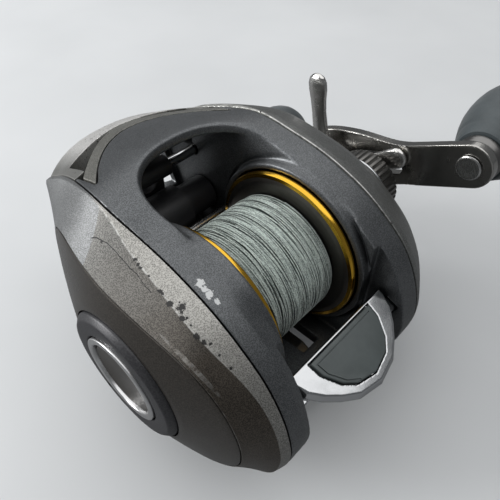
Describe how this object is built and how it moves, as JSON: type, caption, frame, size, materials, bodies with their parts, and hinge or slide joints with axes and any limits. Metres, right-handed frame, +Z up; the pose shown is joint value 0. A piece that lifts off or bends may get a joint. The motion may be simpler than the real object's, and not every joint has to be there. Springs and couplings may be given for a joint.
{
  "type": "baitcasting reel",
  "caption": "Low-profile baitcasting reel with a geared spool of braided line, level wind, star drag, crank handle and thumb bar.",
  "frame": {"origin": "middle of the reel foot's flat underside, below the spool's middle", "axes": "+X along the spool's axis towards the handle, +Y forwards to the rod's tip, +Z up off the rod"},
  "size_m": [0.1056, 0.0879, 0.0525],
  "materials": {
    "frame_grey": "matt speckled",
    "trim_bronze": "metallic, lightly worn",
    "worn_silver": "metallic, worn bright",
    "panel_dark": "satin",
    "dial_black": "satin",
    "satin_ring": "satin",
    "gold": "anodised, polished",
    "spool_dark": "anodised, polished",
    "steel": "polished",
    "dark_steel": "satin",
    "brass": "machined",
    "line_green": "braided line",
    "chrome": "polished",
    "dark_nickel": "polished dark",
    "pad_green": "satin",
    "knob_slate": "soft touch",
    "black_plastic": "matt",
    "magnet": "plated",
    "ceramic": "glossy",
    "carbon": "woven"
  },
  "bodies": {
    "body": {"frame": "frame_grey", "front_trim": "trim_bronze", "nose_bar": "worn_silver", "palm_cover": "trim_bronze", "palm_panel": "panel_dark", "side_inlay": "gold", "brake_base": "black_plastic", "spool_bearing_palm": "steel", "spool_bearing_gear": "steel", "pinion_bearing": "steel", "cap_bearing": "steel", "one_way_bearing": "dark_steel", "handle_cover": "trim_bronze", "cover_screw_1": "dark_steel", "cover_screw_2": "dark_steel", "cap_collar": "chrome", "worm_cover": "black_plastic", "guide_bar": "chrome", "rear_rod": "steel", "reel_foot": "dark_nickel", "foot_screw_1": "steel", "foot_screw_2": "steel"},
    "dial": {"brake_dial": "dial_black", "dial_ring": "satin_ring", "dial_centre": "panel_dark"},
    "brake": {"brake_carrier": "black_plastic", "brake_magnets": "magnet"},
    "spool_unit": {"spool": "spool_dark", "spool_shaft": "steel", "line_core": "line_green", "line_winding": "line_green"},
    "clutch": {"clutch_yoke": "black_plastic"},
    "pinion_unit": {"pinion": "brass"},
    "drive": {"drive_gear": "brass", "drag_washer": "carbon", "pressure_plate": "steel", "clutch_ratchet": "dark_steel", "wind_gear": "black_plastic", "drive_shaft": "steel", "handle_arm": "dark_nickel", "handle_nut": "dark_steel", "nut_retainer": "dark_nickel", "knob_1_pin": "steel", "knob_2_pin": "steel", "knob_1_collar": "dark_steel", "knob_2_collar": "dark_steel"},
    "star": {"star_drag": "dark_nickel"},
    "knob_near": {"knob_1": "knob_slate", "knob_1_cap": "dark_nickel"},
    "knob_far": {"knob_2": "knob_slate", "knob_2_cap": "dark_nickel"},
    "worm": {"worm_shaft": "steel", "worm_gear": "black_plastic"},
    "carriage": {"line_guide": "black_plastic", "line_guide_eye": "ceramic", "guide_pawl": "steel", "pawl_cap": "brass"},
    "cast_control": {"cast_control_cap": "dark_nickel"},
    "thumb": {"thumb_bar": "chrome", "thumb_pad": "pad_green"}
  },
  "joints": [
    {"name": "handle_turn", "type": "hinge", "parent": "body", "child": "drive", "pos_m": [0.047, 0.01345, 0.01946], "axis": [-1, 0, 0], "continuous": true},
    {"name": "spool_turn", "type": "hinge", "parent": "body", "child": "spool_unit", "pos_m": [0, 0, 0.0235], "axis": [-1, 0, 0], "continuous": true},
    {"name": "clutch_slide", "type": "slide", "parent": "body", "child": "clutch", "axis": [1, 0, 0], "range_m": [0, 0.002]},
    {"name": "pinion_turn", "type": "hinge", "parent": "clutch", "child": "pinion_unit", "pos_m": [0.02, 0, 0.0235], "axis": [-1, 0, 0], "continuous": true},
    {"name": "worm_turn", "type": "hinge", "parent": "body", "child": "worm", "pos_m": [0, 0.02603, 0.02258], "axis": [-1, 0, 0], "continuous": true},
    {"name": "line_guide_slide", "type": "slide", "parent": "body", "child": "carriage", "axis": [1, 0, 0], "range_m": [-0.0065, 0.0065]},
    {"name": "thumb_bar_press", "type": "slide", "parent": "body", "child": "thumb", "axis": [0, 0.3827, -0.9239], "range_m": [0, 0.0035]},
    {"name": "star_drag_turn", "type": "hinge", "parent": "drive", "child": "star", "pos_m": [0.042, 0.01345, 0.01946], "axis": [1, 0, 0], "range_deg": [-180, 180]},
    {"name": "knob_1_spin", "type": "hinge", "parent": "drive", "child": "knob_near", "pos_m": [0.06, -0.02008, 0.03626], "axis": [1, 0, 0], "continuous": true},
    {"name": "knob_2_spin", "type": "hinge", "parent": "drive", "child": "knob_far", "pos_m": [0.06, 0.04698, 0.00267], "axis": [1, 0, 0], "continuous": true},
    {"name": "brake_dial_turn", "type": "hinge", "parent": "body", "child": "dial", "pos_m": [-0.03, 0, 0.0235], "axis": [1, 0, 0], "range_deg": [0, 270]},
    {"name": "brake_slide", "type": "slide", "parent": "body", "child": "brake", "axis": [1, 0, 0], "range_m": [0, 0.0012]},
    {"name": "cast_control_turn", "type": "hinge", "parent": "body", "child": "cast_control", "pos_m": [0.038, 0, 0.0235], "axis": [1, 0, 0], "range_deg": [-180, 180]}
  ],
  "couplings": [
    {"joint": "spool_turn", "follows": "handle_turn", "ratio": -5},
    {"joint": "pinion_turn", "follows": "handle_turn", "ratio": -5},
    {"joint": "worm_turn", "follows": "handle_turn", "ratio": -2},
    {"joint": "clutch_slide", "follows": "thumb_bar_press", "ratio": 0.57143},
    {"joint": "brake_dial_turn", "follows": "brake_slide", "rad_per_m": 3927}
  ]
}
